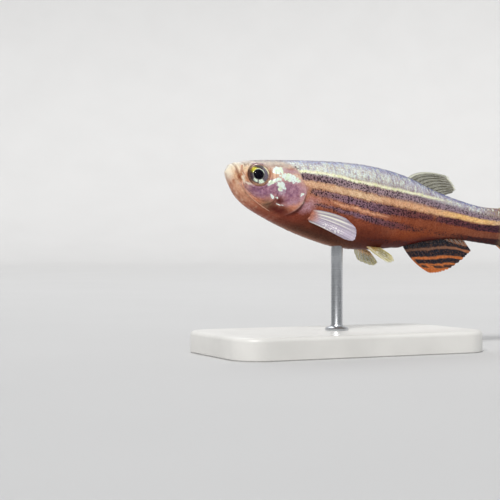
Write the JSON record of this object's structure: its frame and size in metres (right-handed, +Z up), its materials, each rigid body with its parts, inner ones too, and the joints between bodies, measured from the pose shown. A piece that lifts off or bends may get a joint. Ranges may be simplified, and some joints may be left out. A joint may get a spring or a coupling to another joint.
{
  "type": "zebra danio display model",
  "caption": "Still, life-size zebra danio swimming with its head raised, striped body and rayed fins, held over a flat base by a short rod.",
  "frame": {"origin": "centre of the stand's underside, on the floor straight below the rod", "axes": "+Z up; the fish's tail points towards +X and its left side towards -Y"},
  "size_m": [0.0434, 0.015, 0.0194],
  "materials": {
    "head_skin": "moist skin, peach with silver patches",
    "jaw_skin": "moist skin, pale",
    "gill_cover": "moist, violet pink with silver patches",
    "body_skin": "fine scales, dark blue stripes on gold and orange",
    "eye": "wet, gold ring round a black pupil",
    "dorsal_fin": "thin membrane on rays, olive grey with a pale edge",
    "anal_fin": "thin membrane on rays, dark and orange bands",
    "caudal_fin": "thin membrane on rays, dark and cream bands",
    "paired_fin": "thin clear membrane on white rays",
    "barbel": "moist skin",
    "stand_base": "satin",
    "stand_rod": "satin"
  },
  "bodies": {
    "root": {"head": "head_skin", "lower_jaw": "jaw_skin", "gill_cover_left": "gill_cover", "gill_cover_right": "gill_cover", "trunk": "body_skin", "tail_stem": "body_skin", "eye_left": "eye", "eye_right": "eye", "dorsal_fin": "dorsal_fin", "anal_fin": "anal_fin", "caudal_fin": "caudal_fin", "pectoral_fin_left": "paired_fin", "pectoral_fin_right": "paired_fin", "pelvic_fin_left": "paired_fin", "pelvic_fin_right": "paired_fin", "rostral_barbel_left": "barbel", "rostral_barbel_right": "barbel", "maxillary_barbel_left": "barbel", "maxillary_barbel_right": "barbel", "stand_base": "stand_base", "stand_rod": "stand_rod"}
  },
  "joints": []
}
